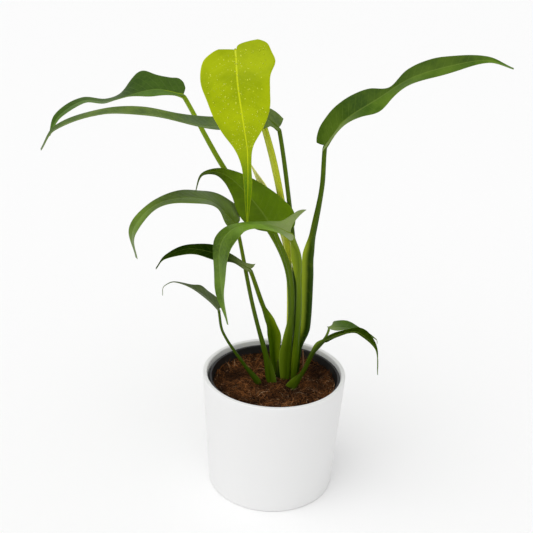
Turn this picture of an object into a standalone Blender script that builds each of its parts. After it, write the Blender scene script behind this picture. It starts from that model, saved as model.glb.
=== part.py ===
"""A potted arrow-leaved climbing plant.

A plain white cover pot holds a thin black nursery pot filled with coir. Eleven leaves, each a
thin blade on its own leaf stalk, rise from one crown beside a rolled young leaf. Lengths in the
tables are millimetres. The origin is the centre of the cover pot's underside.
"""

import math

import bpy
from mathutils import Vector

MM = 0.001
GAP = 0.3  # clearance between pieces that touch

POT_HEIGHT = 112.0
POT_RIM_RADIUS = 65.0
POT_FOOT_RADIUS = 58.0
POT_WALL = 4.1
POT_FLOOR = 6.0
POT_FOOT_ROUND = 1.6
POT_RIM_ROUND = 1.4
POT_FLOOR_ROUND = 4.0
ROUND_MIDDLE = 0.29  # where a rounded corner's middle stands in from the sharp one, of its radius

LINER_RIM_Z = 108.0
LINER_RIM_RADIUS = 59.6
LINER_FOOT_RADIUS = 47.0
LINER_WALL = 1.2
LINER_BEAD = 3.5  # height of the thicker rim
LINER_LIP = 2.3  # width of the thicker rim
LINER_STEP = 1.0  # how far the thicker rim stands out from the wall
LINER_ROUND = 0.6
LINER_FOOT_ROUND = 1.0
LINER_SHIFT = 0.6  # how far the nursery pot stands off the cover pot's axis, to the right

SOIL_TOP_Z = 94.0
SOIL_BUMP = 0.8  # how far the surface rises and falls
SOIL_RINGS = 6
SOIL_EDGE = 3.0  # how deep the coir's sloping edge reaches
SOIL_EDGE_SLOPE = 0.4  # how far the edge leans in
SOIL_FOOT = 1.5  # height of the slope round the coir's underside
SOIL_WAVE_X = 33.0  # lengths of the broad hummocks
SOIL_WAVE_Y = 39.0
SOIL_WAVE_START = 0.6
SOIL_RIPPLE_X = 30.0  # lengths of the short hummocks
SOIL_RIPPLE_Y = 19.0
SOIL_RIPPLE_START = 2.0
SOIL_RIPPLE = 0.6  # height of the short hummocks beside the broad ones

TURNED_SIDES = 56
BLADE_THICKNESS = 0.8
BLADE_ROWS = 13
BLADE_COLUMNS = (-1.0, -0.72, -0.4, -0.12, 0.12, 0.4, 0.72, 1.0)
ROW_CROWDING = 1.3  # rows stand closer together towards the stalk
WIDTH_CROWDING = 1.6  # and so do the steps of the half widths
LEAST_HALF_WIDTH = 0.4
LOBE_REACH = 0.4  # the part of the blade that the lobes sweep back
LOBE_START = 0.15  # how far out from the midrib the sweep starts, of the half width
SINUS_REACH = 0.15  # the part of the blade whose columns crowd towards the midrib
SINUS_CROWDING = 0.6
STALK_SIDES = 8
STALK_STEPS = 16
POCKET_ROOM = 0.5  # how much wider a pocket in the coir is than its stalk, all round

DARK_GREEN = (0.035, 0.115, 0.02)
MID_GREEN = (0.07, 0.19, 0.02)
LIME = (0.45, 0.52, 0.01)
CREAM = (0.75, 0.75, 0.25)
BROWN = (0.13, 0.05, 0.02)

# Each leaf has
#   stalk: stations (x, y, z, half width, half depth) from the crown to the blade
#   broad: the way the stalk's broad side faces
#   rib:   points along the midrib from the stalk to the tip
#   face:  the way the upper face looks, at even steps from base to tip
#   right, left: half widths at crowded steps from base to tip
#   folds: how far the right and the left half rise from flat, in degrees, at even steps
#   lobes: how far the right and the left lobe reach back behind the stalk, and how hooked they are
LEAVES = {
    "new": dict(
        stalk=[
            (13, 33, 87, 2.6, 2.6), (12, 30, 170, 2.6, 2.5), (6, 28, 235, 2.8, 2.4),
            (-8, 31, 300, 3, 2.2), (-26, 31, 355, 2.4, 2), (-40, -2, 395, 1.8, 1.8),
        ],
        broad=(0, -1, 0),
        rib=[(-41, -4, 397), (-38, -16, 372), (-33, -20, 344), (-29, -17, 318), (-28, -4, 255)],
        face=[(0, -0.9, 0.4), (0, -1, 0.3), (0, -1, 0), (0.1, -1, -0.2), (0.1, -1, -0.2)],
        right=[13, 18.5, 25, 28, 28.5, 25.5, 22.5, 17.5, 10.5, 5.5, 4, 3, 1.2],
        left=[18, 25, 28, 30.5, 26, 24.5, 22.5, 15.5, 5, 3, 4, 3, 1.2],
        folds=([5, 5, 8, 15, 40, 55], [5, 5, 8, 15, 40, 55]),
        lobes=(1, 7, 0.35),
        colour=LIME,
    ),
    "strap": dict(
        stalk=[
            (17, 25, 87, 2.4, 2.4), (16, 25, 180, 2.2, 2.2), (13, 24, 223, 2.1, 2.1),
            (4, 18, 286, 1.9, 1.9), (-4, 16, 330, 1.8, 1.8),
        ],
        broad=(0, -1, 0),
        rib=[
            (-5, 15, 333), (-16, 13, 340), (-60, 5, 334), (-112, -7, 345), (-145, -13, 345),
            (-181, -20, 333), (-193, -22, 316),
        ],
        face=[(0.4, -0.3, 0.85), (0, 0, 1), (0, 0, 1), (0, 0, 1), (-0.6, -0.2, 0.8)],
        right=[17, 20, 18, 21, 22, 18, 12.5, 10.5, 3],
        left=[3, 7, 18, 13, 8, 11, 12, 8, 0.5],
        folds=([0, 8, 10, 10, 10], [0, 0, 8, 10, 10]),
        lobes=(4, 2, 0.7),
        colour=DARK_GREEN,
    ),
    "upper": dict(
        stalk=[
            (10, 24, 87, 2.2, 2.2), (13, 19, 140, 2.1, 2.1), (9, 19, 199, 2, 2),
            (-6, 28, 232, 2.2, 2), (-51, 42, 289, 2.3, 2), (-85, 44, 348, 2, 1.8),
        ],
        broad=(0, -1, 0),
        rib=[
            (-87, 43, 352), (-111, 39, 356), (-150, 30, 346), (-168, 25, 347), (-187, 17, 335),
            (-194, 10, 320),
        ],
        face=[(0.2, -0.15, 1), (0, -0.15, 1), (0, 0.1, 1), (-0.3, -0.2, 1), (-0.6, -0.3, 0.7)],
        right=[9, 17, 21, 19, 19, 26, 22, 13, 10, 7.5, 7.5, 6, 2],
        left=[2, 5, 11, 13, 14, 14, 12, 10, 9, 7, 7.5, 4, 0.5],
        folds=([20, 20, 8, 15, 20], [12, 0, 8, -3, 0, 0]),
        lobes=(2, 2, 0.7),
        colour=DARK_GREEN,
    ),
    "broad": dict(
        stalk=[
            (11, 16, 87, 4, 2.2), (10, 15, 121, 6.2, 2.3), (11, 13, 137, 4.8, 2.2),
            (14, 12, 170, 2.2, 2), (10, 15, 206, 2, 2), (-3, 15, 238, 1.8, 1.8),
        ],
        broad=(0.1, -1, 0.1),
        rib=[
            (-5, 15, 242), (-18, 19, 260), (-40, 27, 281), (-55, 28, 289), (-69, 25, 287),
            (-74, 19, 273),
        ],
        face=[
            (-0.2, -0.85, 0.5), (-0.2, -0.85, 0.5), (-0.1, -0.8, 0.6), (-0.4, -0.6, 0.7),
            (-0.9, -0.4, 0.2),
        ],
        right=[17, 21, 24, 21, 17, 12, 6, 2, 0.8],
        left=[2, 5, 13, 17.5, 17, 11.5, 6.5, 2.5, 0.5],
        folds=([10, 10, 15, 20, 20], [10, 10, 15, 20, 20]),
        lobes=(6, 2, 0.7),
        colour=DARK_GREEN,
    ),
    "front": dict(
        stalk=[
            (18, 17, 87, 2.3, 2.2), (19, 12, 118, 3.2, 2.2), (20, 10, 160, 2.6, 2.2),
            (19, 7, 193, 2.4, 2), (15, 1, 223, 4.5, 1.9), (10, -8, 246, 2.2, 1.7),
        ],
        broad=(0, -1, 0.2),
        rib=[
            (9, -9, 249), (-11, -20, 260), (-37, -34, 261), (-48, -43, 249), (-47, -46, 216),
            (-41, -44, 179),
        ],
        face=[
            (0.4, -0.1, 0.9), (0, 0.1, 1), (-0.1, 0.1, 1), (-0.85, -0.5, 0.3), (-0.85, -0.5, 0.1),
            (-0.85, -0.5, 0.1),
        ],
        right=[30, 28, 12, 6, 9, 10.5, 8, 8, 1],
        left=[3, 13, 22, 19, 14, 17, 12, 2.5, 1],
        folds=([35, 8, 5, 15, 25], [0, -5, 0, 0, 5]),
        lobes=(18, 1, 2.2),
        colour=MID_GREEN,
    ),
    "left": dict(
        stalk=[
            (-1, 9, 87, 4, 2.2), (-2.5, 9, 99, 4.7, 2.4), (-9, 8, 127, 2.4, 2),
            (-17, 7, 156, 1.9, 1.9), (-23.5, 6, 183, 1.8, 1.8), (-37, 5, 248, 1.6, 1.6),
        ],
        broad=(0, -1, 0.2),
        rib=[
            (-38, 4, 251), (-58, -2, 272), (-84, -11, 277), (-106, -19, 271), (-121, -27, 252),
            (-118, -28, 229),
        ],
        face=[(0.2, -0.3, 1), (0, 0, 1), (0, 0, 1), (-0.8, -0.3, 0.6), (-0.9, -0.3, 0)],
        right=[9, 22, 23, 25, 20, 12.5, 8, 8, 3],
        left=[1, 12, 16, 18, 17, 11, 9, 10, 3],
        folds=([5, 5, 8, 10, 15], [0, 0, 0, 0, 0]),
        lobes=(4, 0, 0.7),
        colour=DARK_GREEN,
    ),
    "dark": dict(
        stalk=[
            (2, 29, 87, 2.6, 2.2), (0, 26, 120, 4.8, 2.2), (-1, 23, 137, 6.3, 2.2),
            (-5, 18, 153, 4.5, 2.1), (-12, 13, 170, 2.1, 2), (-24, -10, 214, 1.8, 1.8),
        ],
        broad=(0, -1, 0.2),
        rib=[(-25, -12, 217), (-43, -17, 228), (-74, -20, 236), (-95, -23, 229), (-103, -23, 218)],
        face=[(0.2, -0.2, 1), (0, 0, 1), (0, 0, 1), (-0.4, 0, 1), (-1, 0, 0)],
        right=[11, 8, 6, 11, 15, 12, 8, 5, 2],
        left=[4, 5, 7, 8, 14, 14, 12, 8, 1],
        folds=([5, 5, 8, 10, 15], [0, 0, 0, 0, 0]),
        lobes=(7, 2, 0.7),
        colour=DARK_GREEN,
    ),
    "small": dict(
        stalk=[
            (-13, 6, 87, 2, 1.8), (-14, 5, 96, 3, 1.8), (-28, 2, 117, 1.5, 1.5),
            (-47, -5, 152, 1.2, 1.2), (-51, -7, 175, 1.2, 1.2),
        ],
        broad=(0, -1, 0.5),
        rib=[(-51, -8, 177), (-68, -12, 194), (-88, -17, 204), (-97, -21, 201), (-98, -21, 193)],
        face=[(0.5, 0, 0.9), (0.3, 0, 1), (-0.1, 0, 1), (-0.6, 0, 0.7), (-1, 0, 0)],
        right=[6, 11, 13, 13, 12, 6, 2.5, 1.5, 0.5],
        left=[4, 6, 7, 7, 6, 4, 1.5, 1, 0.5],
        folds=([10, 8, 8, 10, 15], [5, 5, 5, 5, 5]),
        lobes=(4, 2, 0.7),
        colour=DARK_GREEN,
    ),
    "low": dict(
        stalk=[
            (15, 1, 87, 3.2, 2), (16, 0, 95, 4.8, 2.2), (26, -4, 114, 2, 1.8),
            (33, -9, 136, 2, 1.4), (38, -11, 146, 2.8, 1.2), (43, -12, 151, 1.8, 1.2),
        ],
        broad=(-0.3, -1, 0.5),
        rib=[(44, -13, 153), (61, -19, 163), (71, -22, 165), (86, -27, 153), (90, -28, 128)],
        face=[(-0.5, 0, 0.9), (-0.3, 0, 1), (0.2, 0, 1), (0.8, 0, 0.6), (1, 0, 0)],
        right=[2, 2, 2, 2, 2, 3, 3.5, 4, 1],
        left=[2, 4, 5, 5, 6, 9, 8, 5, 0.5],
        folds=([5, 0, 0, 5, 5], [10, 8, 8, 10, 15]),
        lobes=(1, 1, 0.7),
        colour=MID_GREEN,
    ),
    "twin": dict(
        stalk=[(42, -9, 149, 1.2, 1.2), (45, -6, 153, 1.1, 1.1), (47, -2, 157, 1.1, 1.1)],
        broad=(-0.3, -1, 0.5),
        rib=[(47, 0, 158), (62, 7, 155), (79, 10, 150), (92, 11, 142), (93, 11, 138)],
        face=[(-0.2, -0.3, 1), (0, 0, 1), (0.3, 0, 1), (0.6, 0, 0.8), (1, 0, 0.2)],
        right=[1.5, 4, 6.5, 7, 6, 4, 3, 1.5, 0.5],
        left=[1.5, 1.5, 4, 10.5, 12.5, 10, 4.5, 2, 0.5],
        folds=([8, 8, 8, 10, 15], [8, 8, 8, 10, 15]),
        lobes=(1, 1, 0.7),
        colour=DARK_GREEN,
    ),
    "right": dict(
        stalk=[
            (22, 27, 87, 2.2, 2.2), (23, 25, 121, 2, 2), (27, 23, 147, 5, 2.4),
            (26.5, 22, 196, 5.5, 2.4), (26, 21, 218, 5.2, 2.3), (29, 19, 240, 2.9, 2.1),
            (34, 14, 283, 2.1, 2), (34, 8, 319, 1.9, 1.8),
        ],
        broad=(0, -1, 0.2),
        rib=[
            (34, 8, 322), (48, 4, 343), (73, -2, 363), (96, -9, 381), (125, -17, 393),
            (151, -24, 399), (170, -27, 394),
        ],
        face=[
            (-0.6, -0.4, 0.6), (-0.5, -0.4, 0.7), (-0.35, -0.3, 0.85), (-0.2, -0.8, 0.6),
            (0, -0.3, 1),
        ],
        right=[6, 5.5, 5, 5, 6, 8.5, 12.5, 10, 10.5, 8, 5.5, 3, 1],
        left=[8, 11.5, 14.5, 15.5, 16.5, 16, 12.5, 3.5, 10.5, 10, 7, 4, 1],
        folds=([20, 8, -15, 5, 10, 10, 10], [20, 25, 20, 10, 15]),
        lobes=(4, 5, 0.7),
        colour=DARK_GREEN,
    ),
}

# Round or flattened pieces: stations as for a stalk, and the way the broad side faces.
SHOOTS = {
    "young_leaf": dict(
        stalk=[
            (16, 38, 87, 2.4, 2), (14, 38, 167, 2.4, 2), (5, 39, 225, 2.6, 1.8),
            (-13, 38, 268, 3.6, 1.5), (-29, 34, 298, 0.6, 0.5),
        ],
        broad=(0, -1, 0),
        colour=CREAM,
    ),
    "crown_stump": dict(
        stalk=[(5, 20, 87, 3, 3), (5, 20, 100, 2.9, 2.9), (5, 20, 112, 2.2, 2.2)],
        broad=(0, -1, 0),
        colour=MID_GREEN,
    ),
    "aerial_root": dict(
        stalk=[(27, 16, 88, 0.7, 0.7), (27, 18, 113, 0.8, 0.8), (26, 20, 124, 0.6, 0.6)],
        broad=(0, -1, 0),
        colour=BROWN,
    ),
}


def material(name, colour, roughness, metallic=0.0):
    result = bpy.data.materials.new(name)
    result.use_nodes = True
    shader = result.node_tree.nodes["Principled BSDF"]
    shader.inputs["Base Color"].default_value = (*colour, 1.0)
    shader.inputs["Roughness"].default_value = roughness
    shader.inputs["Metallic"].default_value = metallic
    result.diffuse_color = (*colour, 1.0)
    return result


def add_object(name, points, faces, paint, smooth=True):
    mesh = bpy.data.meshes.new(name)
    mesh.from_pydata([tuple(c * MM for c in p) for p in points], [], faces)
    if smooth:
        mesh.shade_smooth()
        mesh.set_sharp_from_angle(angle=math.radians(50))
    mesh.materials.append(paint)
    result = bpy.data.objects.new(name, mesh)
    bpy.context.collection.objects.link(result)
    return result


def turned(profile, sides, lift=None):
    """Points and faces of a closed turned solid. The profile runs from the axis underneath, out
    and up the outer side, and back to the axis; lift(x, y, z) is added to each point's height."""
    first, *rings, last = profile
    points = [(0.0, 0.0, first[1])]
    for radius, z in rings:
        for k in range(sides):
            turn = 2 * math.pi * k / sides
            x = radius * math.cos(turn)
            y = radius * math.sin(turn)
            points.append((x, y, z + (lift(x, y, z) if lift else 0.0)))
    points.append((0.0, 0.0, last[1] + (lift(0.0, 0.0, last[1]) if lift else 0.0)))
    faces = []
    top = len(points) - 1
    for k in range(sides):
        n = (k + 1) % sides
        faces.append((0, 1 + n, 1 + k))
        for ring in range(len(rings) - 1):
            a = 1 + ring * sides
            b = a + sides
            faces.append((a + k, a + n, b + n, b + k))
        a = 1 + (len(rings) - 1) * sides
        faces.append((a + k, a + n, top))
    return points, faces


def curve_point(points, position):
    """A point and the direction on a smooth curve through the points; position is 0 to 1 along it."""
    lengths = [0.0]
    for a, b in zip(points, points[1:]):
        lengths.append(lengths[-1] + (b - a).length)
    wanted = min(max(position, 0.0), 1.0) * lengths[-1]
    i = 0
    while i < len(points) - 2 and lengths[i + 1] < wanted:
        i += 1
    a, b = points[i], points[i + 1]
    span = lengths[i + 1] - lengths[i]
    before = points[i - 1] if i > 0 else a - (b - a)
    after = points[i + 2] if i + 2 < len(points) else b + (b - a)
    start = (b - before) * (span / max(span + (a - before).length, 1e-6))
    end = (after - a) * (span / max(span + (after - b).length, 1e-6))
    t = (wanted - lengths[i]) / span
    place = a * (2 * t**3 - 3 * t**2 + 1) + start * (t**3 - 2 * t**2 + t)
    place = place + b * (3 * t**2 - 2 * t**3) + end * (t**3 - t**2)
    way = a * (6 * t**2 - 6 * t) + start * (3 * t**2 - 4 * t + 1)
    way = way + b * (6 * t - 6 * t**2) + end * (3 * t**2 - 2 * t)
    return place, way.normalized()


def even_value(values, position):
    """The value of an evenly spaced list, eased smoothly between its entries."""
    scaled = min(max(position, 0.0), 1.0) * (len(values) - 1)
    i = min(int(scaled), len(values) - 2)
    t = scaled - i
    before = values[max(i - 1, 0)]
    after = values[min(i + 2, len(values) - 1)]
    start = (values[i + 1] - before) * 0.5
    end = (after - values[i]) * 0.5
    result = values[i] * (2 * t**3 - 3 * t**2 + 1) + start * (t**3 - 2 * t**2 + t)
    return result + values[i + 1] * (3 * t**2 - 2 * t**3) + end * (t**3 - t**2)


def blade_point(leaf, s, across):
    """A point on the blade's middle surface: s is 0 at the stalk and 1 at the tip, across is -1 on
    the left margin and 1 on the right one."""
    place, way = curve_point([Vector(p) for p in leaf["rib"]], s)
    face = even_value([Vector(f).normalized() for f in leaf["face"]], s)
    face = (face - way * face.dot(way)).normalized()
    right = way.cross(face)
    side = 1 if across > 0 else -1
    out = abs(across)
    width = even_value(leaf["right"] if side > 0 else leaf["left"], s ** (1 / WIDTH_CROWDING))
    width = max(width, LEAST_HALF_WIDTH)
    sinus = max(0.0, 1 - s / SINUS_REACH)
    reach = width * out ** (1 + SINUS_CROWDING * sinus)
    right_lobe, left_lobe, hook = leaf["lobes"]
    lobe = (right_lobe if side > 0 else left_lobe) * max(0.0, 1 - s / LOBE_REACH) ** 2
    back = lobe * (max(0.0, out - LOBE_START) / (1 - LOBE_START)) ** hook
    angle = math.radians(even_value(leaf["folds"][0 if side > 0 else 1], s))
    return place + right * (side * reach * math.cos(angle)) + face * (reach * math.sin(angle)) - way * back


def blade_solid(leaf):
    """A closed thin shell around the blade's middle surface."""
    columns = len(BLADE_COLUMNS)
    marks = [(i / BLADE_ROWS) ** ROW_CROWDING for i in range(BLADE_ROWS + 1)]
    grid = [[blade_point(leaf, s, t) for t in BLADE_COLUMNS] for s in marks]
    rows = len(grid)
    over, under = [], []
    for i in range(rows):
        for j in range(columns):
            along = grid[min(i + 1, rows - 1)][j] - grid[max(i - 1, 0)][j]
            across = grid[i][min(j + 1, columns - 1)] - grid[i][max(j - 1, 0)]
            normal = across.cross(along).normalized()
            over.append(grid[i][j] + normal * (BLADE_THICKNESS / 2))
            under.append(grid[i][j] - normal * (BLADE_THICKNESS / 2))
    points = over + under
    low = len(over)
    faces = []
    for i in range(rows - 1):
        for j in range(columns - 1):
            a = i * columns + j
            faces.append((a, a + 1, a + columns + 1, a + columns))
            faces.append((low + a, low + a + columns, low + a + columns + 1, low + a + 1))
    edge = [j for j in range(columns)]
    edge += [i * columns + columns - 1 for i in range(1, rows)]
    edge += [(rows - 1) * columns + j for j in range(columns - 2, -1, -1)]
    edge += [i * columns for i in range(rows - 2, 0, -1)]
    for a, b in zip(edge, edge[1:] + edge[:1]):
        faces.append((b, a, low + a, low + b))
    return points, faces


def stalk_solid(stations, broad, sides, steps, grow=0.0):
    """A closed round or flattened rod through the stations."""
    path = [Vector(p[:3]) for p in stations]
    total = sum((b - a).length for a, b in zip(path, path[1:]))
    marks = [0.0]
    for a, b in zip(path, path[1:]):
        marks.append(marks[-1] + (b - a).length / total)
    front = Vector(broad).normalized()
    points, faces = [], []
    for i in range(steps + 1):
        s = i / steps
        place, way = curve_point(path, s)
        k = 0
        while k < len(marks) - 2 and marks[k + 1] < s:
            k += 1
        t = (s - marks[k]) / (marks[k + 1] - marks[k])
        t = t * t * (3 - 2 * t)
        wide = stations[k][3] * (1 - t) + stations[k + 1][3] * t + grow
        deep = stations[k][4] * (1 - t) + stations[k + 1][4] * t + grow
        across = way.cross(front).normalized()
        facing = across.cross(way)
        for n in range(sides):
            turn = 2 * math.pi * n / sides
            points.append(place + across * (wide * math.cos(turn)) + facing * (deep * math.sin(turn)))
    for i in range(steps):
        for n in range(sides):
            m = (n + 1) % sides
            a = i * sides
            b = a + sides
            faces.append((a + m, a + n, b + n, b + m))
    faces.append(tuple(range(sides)))
    faces.append(tuple(steps * sides + n for n in range(sides - 1, -1, -1)))
    return points, faces


def soil_height(x, y, z):
    """The coir's low hummocks, only on its upper surface."""
    if z < SOIL_TOP_Z - SOIL_EDGE / 2:
        return 0.0
    waves = math.sin(math.tau * x / SOIL_WAVE_X + SOIL_WAVE_START) * math.cos(math.tau * y / SOIL_WAVE_Y)
    ripples = math.sin(math.tau * (x / SOIL_RIPPLE_X + y / SOIL_RIPPLE_Y) + SOIL_RIPPLE_START)
    return SOIL_BUMP * (waves + SOIL_RIPPLE * ripples)


def wall_radius(z):
    """The cover pot's outer radius at a height."""
    return POT_FOOT_RADIUS + (POT_RIM_RADIUS - POT_FOOT_RADIUS) * z / POT_HEIGHT


def cover_pot():
    inner = POT_RIM_RADIUS - POT_WALL
    foot_middle = ROUND_MIDDLE * POT_FOOT_ROUND
    rim_middle = ROUND_MIDDLE * POT_RIM_ROUND
    rim = POT_HEIGHT - POT_RIM_ROUND
    profile = [
        (0, 0),
        (POT_FOOT_RADIUS - POT_FOOT_ROUND, 0),
        (POT_FOOT_RADIUS - foot_middle, foot_middle),
        (wall_radius(POT_FOOT_ROUND), POT_FOOT_ROUND),
        (wall_radius(rim), rim),
        (POT_RIM_RADIUS - rim_middle, POT_HEIGHT - rim_middle),
        (POT_RIM_RADIUS - POT_RIM_ROUND, POT_HEIGHT),
        (inner + POT_RIM_ROUND, POT_HEIGHT),
        (inner + rim_middle, POT_HEIGHT - rim_middle),
        (inner, rim),
        (wall_radius(POT_FLOOR + POT_FLOOR_ROUND) - POT_WALL, POT_FLOOR + POT_FLOOR_ROUND),
        (wall_radius(POT_FLOOR) - POT_WALL - POT_FLOOR_ROUND, POT_FLOOR),
        (0, POT_FLOOR),
    ]
    points, faces = turned(profile, TURNED_SIDES)
    add_object("cover_pot", points, faces, material("white_glaze", (0.8, 0.8, 0.8), 0.35))


def liner_radius(z):
    """The nursery pot's outer radius at a height."""
    low = POT_FLOOR + GAP
    neck_radius = LINER_RIM_RADIUS - LINER_STEP
    return LINER_FOOT_RADIUS + (neck_radius - LINER_FOOT_RADIUS) * (z - low) / (LINER_RIM_Z - low)


def nursery_pot():
    low = POT_FLOOR + GAP
    floor = low + LINER_WALL
    neck = LINER_RIM_Z - LINER_BEAD
    lip = LINER_RIM_RADIUS - LINER_LIP
    profile = [
        (0, low),
        (LINER_FOOT_RADIUS - LINER_FOOT_ROUND, low),
        (LINER_FOOT_RADIUS, low + LINER_FOOT_ROUND),
        (liner_radius(neck - LINER_ROUND), neck - LINER_ROUND),
        (LINER_RIM_RADIUS - LINER_ROUND / 2, neck),
        (LINER_RIM_RADIUS, LINER_RIM_Z - LINER_ROUND),
        (LINER_RIM_RADIUS - LINER_ROUND, LINER_RIM_Z),
        (lip + LINER_ROUND, LINER_RIM_Z),
        (lip, LINER_RIM_Z - LINER_ROUND),
        (liner_radius(neck) - LINER_WALL, neck - LINER_STEP),
        (LINER_FOOT_RADIUS - LINER_WALL, floor + LINER_FOOT_ROUND),
        (LINER_FOOT_RADIUS - LINER_WALL - LINER_FOOT_ROUND, floor),
        (0, floor),
    ]
    points, faces = turned(profile, TURNED_SIDES)
    pot = add_object("nursery_pot", points, faces, material("black_plastic", (0.015, 0.015, 0.017), 0.5))
    pot.location.x = LINER_SHIFT * MM


def coir(cutters):
    low = POT_FLOOR + GAP + LINER_WALL + GAP
    slack = LINER_WALL + GAP
    top_radius = liner_radius(SOIL_TOP_Z) - slack
    profile = [
        (0, low),
        (LINER_FOOT_RADIUS - slack - LINER_FOOT_ROUND, low),
        (liner_radius(low) - slack, low + SOIL_FOOT),
        (liner_radius(SOIL_TOP_Z - SOIL_EDGE) - slack, SOIL_TOP_Z - SOIL_EDGE),
        (top_radius - SOIL_EDGE_SLOPE, SOIL_TOP_Z),
    ]
    profile += [(top_radius * (SOIL_RINGS - k) / SOIL_RINGS, SOIL_TOP_Z) for k in range(1, SOIL_RINGS)]
    profile += [(0, SOIL_TOP_Z)]
    points, faces = turned(profile, TURNED_SIDES // 2, soil_height)
    body = add_object("coir", points, faces, material("coir_fibre", (0.11, 0.045, 0.02), 0.95))
    body.location.x = LINER_SHIFT * MM
    for cutter in cutters:
        cut = body.modifiers.new(cutter.name, "BOOLEAN")
        cut.operation = "DIFFERENCE"
        cut.solver = "EXACT"
        cut.object = cutter


def pocket(name, stations, broad):
    """A guide slightly larger than a stalk, which cuts the coir and isn't part of the plant."""
    x, y, z, wide, deep = stations[0]
    foot = [(x, y, z - GAP, wide, deep), *stations[1:]]
    points, faces = stalk_solid(foot, broad, STALK_SIDES, STALK_STEPS, POCKET_ROOM)
    guide = add_object("pocket_" + name, points, faces, material("guide", (1, 0, 0), 0.5), False)
    guide.hide_render = True
    guide.display_type = "WIRE"
    return guide


def build():
    for old in list(bpy.data.objects):
        bpy.data.objects.remove(old, do_unlink=True)
    cover_pot()
    nursery_pot()
    guides = []
    for name, leaf in LEAVES.items():
        colour = leaf["colour"]
        points, faces = blade_solid(leaf)
        add_object("blade_" + name, points, faces, material("blade_" + name, colour, 0.4))
        points, faces = stalk_solid(leaf["stalk"], leaf["broad"], STALK_SIDES, STALK_STEPS)
        stalk_colour = tuple(min(1.0, c * 1.4) for c in colour)
        add_object("stalk_" + name, points, faces, material("stalk_" + name, stalk_colour, 0.4))
        if leaf["stalk"][0][2] < SOIL_TOP_Z:
            guides.append(pocket(name, leaf["stalk"], leaf["broad"]))
    for name, shoot in SHOOTS.items():
        points, faces = stalk_solid(shoot["stalk"], shoot["broad"], STALK_SIDES, STALK_STEPS)
        add_object(name, points, faces, material(name, shoot["colour"], 0.5))
        guides.append(pocket(name, shoot["stalk"], shoot["broad"]))
    coir(guides)


build()
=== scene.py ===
"""Looks of the potted climbing plant: fine leaves, stalks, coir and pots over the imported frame.

Lengths in the tables and in the shape functions are millimetres, as in the part's source, and
become metres when a mesh is made.
"""

import math

import bpy
import numpy as np
from mathutils import Matrix, Vector


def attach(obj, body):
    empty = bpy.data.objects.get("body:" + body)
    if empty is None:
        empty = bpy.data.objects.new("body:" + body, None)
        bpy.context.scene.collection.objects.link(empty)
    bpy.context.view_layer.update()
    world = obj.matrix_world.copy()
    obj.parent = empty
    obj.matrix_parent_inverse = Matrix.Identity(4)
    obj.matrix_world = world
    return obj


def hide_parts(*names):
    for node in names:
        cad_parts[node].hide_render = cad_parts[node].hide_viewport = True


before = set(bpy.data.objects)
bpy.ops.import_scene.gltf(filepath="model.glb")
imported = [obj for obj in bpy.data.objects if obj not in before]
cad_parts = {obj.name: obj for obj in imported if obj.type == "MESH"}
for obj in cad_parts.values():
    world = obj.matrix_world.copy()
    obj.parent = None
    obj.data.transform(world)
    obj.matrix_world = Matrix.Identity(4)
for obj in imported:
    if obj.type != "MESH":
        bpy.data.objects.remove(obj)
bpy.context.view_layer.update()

MM = 0.001

POT_HEIGHT = 112.0
POT_RIM_RADIUS = 65.0
POT_FOOT_RADIUS = 58.0
POT_WALL = 4.1
POT_FLOOR = 6.0
LINER_RIM_Z = 108.0
LINER_RIM_RADIUS = 59.6
LINER_FOOT_RADIUS = 47.0
LINER_WALL = 1.2
LINER_BEAD = 3.5
LINER_LIP = 1.0  # how far the rim stands out past the wall
LINER_SHIFT = 0.6
SOIL_HEAP = 6.5  # how far the coir rises towards its edge
GAP = 0.3
SOIL_TOP_Z = 94.0
SOIL_BUMP = 0.8

WIDTH_CROWDING = 1.6  # half widths are listed at steps that crowd towards the stalk
ROW_CROWDING = 1.25
LEAST_HALF_WIDTH = 0.35
LOBE_REACH = 0.4
LOBE_START = 0.15
SINUS_REACH = 0.15
SINUS_CROWDING = 0.6
BLADE_ROWS = 110
BLADE_COLUMNS = 49
BLADE_HALF_THICKNESS = 0.2
RIB_ROUNDING = 1.6  # how softly the two halves meet at the midrib
VEIN_SPACING = 6.0
MARGIN_RIPPLE = 0.035  # of the half width
RIPPLES = 3.1  # waves along a margin
RIPPLE_STEP = 0.13  # of a wave, from one leaf to the next
RIPPLE_LEAD = 1.3  # radians that the right margin's waves lead, and the left's lag
QUILT_HEIGHT = 0.07
QUILT_FULL_WIDTH = 8  # half width from which the bulges reach their full height
CHANNEL_DEPTH = 0.28
CHANNEL_WIDTH = 1.1
RIDGE_HEIGHT = 0.5
RIDGE_WIDTH = 1.0

SHEATH_FROM = 1.2  # width over depth at which a stalk starts to spread into a sheath
SHEATH_RANGE = 0.8  # further width over depth at which it has spread fully
ROD_SHARE = 0.92  # the rod's half width over the stalk's half depth
WING_HALF_THICKNESS = 0.45
WING_CURL = 0.28
WING_CURL_START = 0.2  # of the half width, on the rod's side of the middle
GROOVE_DEPTH = 0.22  # of the half depth
GROOVE_WIDTH = 0.45  # of the rod's half width
# How a stalk thins under its blade: place on the midrib and share of the stalk's last half width.
TAIL = ((0.0, 1.0), (0.04, 0.75), (0.12, 0.5), (0.25, 0.3))

TURNED_SIDES = 160
COIR_SIDES = 200
COIR_RINGS = 70
DROP_SIDES = 10
DROP_LEVELS = 4
DROP_HEIGHT = 0.62  # of the drop's radius

CAMERA_PLACE = (-0.0105, -0.6690, 0.4895)  # metres
CAMERA_TILT = 67.65
CAMERA_ROLL = 2.15
CAMERA_LENS = 56.48
CAMERA_SENSOR = 36.0
WORLD_STRENGTH = 0.72
SUN_STRENGTH = 1.25
SUN_SPREAD = 70  # degrees across
SUN_WAY = (0.55, 0.6, -1.25)
FLOOR_HALF = 30000.0


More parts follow.
